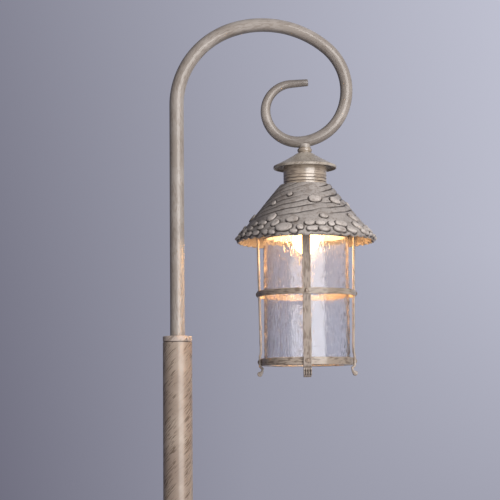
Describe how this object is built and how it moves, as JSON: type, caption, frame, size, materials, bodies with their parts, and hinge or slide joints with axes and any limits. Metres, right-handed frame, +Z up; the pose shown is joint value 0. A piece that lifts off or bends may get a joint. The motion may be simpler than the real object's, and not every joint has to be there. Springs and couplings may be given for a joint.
{
  "type": "crook-armed garden lamp post",
  "caption": "Garden lamp post: a tube post on a round cast foot, a tapered crook arm with a curled end, and a hanging riveted lantern with a stone-relief roof, seeded glass and a lit bulb.",
  "frame": {"origin": "on the ground, on the axis of the post, in the middle of the anchor holes", "axes": "+Z up the post, +X from the post towards the lantern, +Y away from the camera of the picture"},
  "size_m": [0.359, 0.2, 1.1996],
  "materials": {
    "cast_foot": "satin",
    "tube_paint": "satin",
    "roof_casting": "satin",
    "lantern_paint": "satin",
    "rivet_metal": "satin",
    "plain_steel": "satin",
    "moulded_plastic": "matte",
    "holder_ceramic": "gloss",
    "contact_brass": "satin",
    "seal_rubber": "matte",
    "seeded_glass": "gloss",
    "bulb_glass": "satin",
    "bulb_cap_metal": "satin"
  },
  "bodies": {
    "post": {"base_casting": "cast_foot", "post_tube": "tube_paint", "post_foot_plug": "plain_steel", "post_foot_pipe": "plain_steel", "post_foot_washer": "plain_steel", "post_foot_nut": "plain_steel", "terminal_block": "moulded_plastic", "terminal_screw": "plain_steel", "post_top_plug": "tube_paint", "arm_clamp_screw": "plain_steel", "arm_seat_cup": "moulded_plastic"},
    "arm": {"crook_arm": "tube_paint", "hanger_boss": "tube_paint"},
    "lantern": {"hanger_bead": "tube_paint", "hanger_pipe": "plain_steel", "chimney_hood": "lantern_paint", "hood_spacer": "plain_steel", "chimney_tube": "lantern_paint", "lantern_roof": "roof_casting", "bridge_bar": "plain_steel", "bridge_nut": "plain_steel", "lamp_holder": "holder_ceramic", "holder_shell": "contact_brass", "holder_contact": "contact_brass", "strap_right": "lantern_paint", "strap_back": "lantern_paint", "strap_left": "lantern_paint", "strap_front": "lantern_paint", "mid_ring": "lantern_paint", "low_ring": "lantern_paint", "mid_rivets": "rivet_metal", "low_rivets": "rivet_metal", "strap_screws": "plain_steel", "glass_seal": "seal_rubber", "glass_cylinder": "seeded_glass"},
    "bulb": {"bulb_globe": "bulb_glass", "bulb_screw_cap": "bulb_cap_metal", "bulb_contact": "contact_brass"}
  },
  "joints": [
    {"name": "arm_swivel", "type": "hinge", "parent": "post", "child": "arm", "pos_m": [0, 0, 0.78], "axis": [0, 0, 1], "range_deg": [-170, 170]},
    {"name": "lantern_swivel", "type": "hinge", "parent": "arm", "child": "lantern", "pos_m": [0.16797, 0, 1.02529], "axis": [0, 0, 1], "range_deg": [-170, 170]},
    {"name": "bulb_draw", "type": "slide", "parent": "lantern", "child": "bulb", "axis": [0, 0, -1], "range_m": [0, 0.235]}
  ]
}
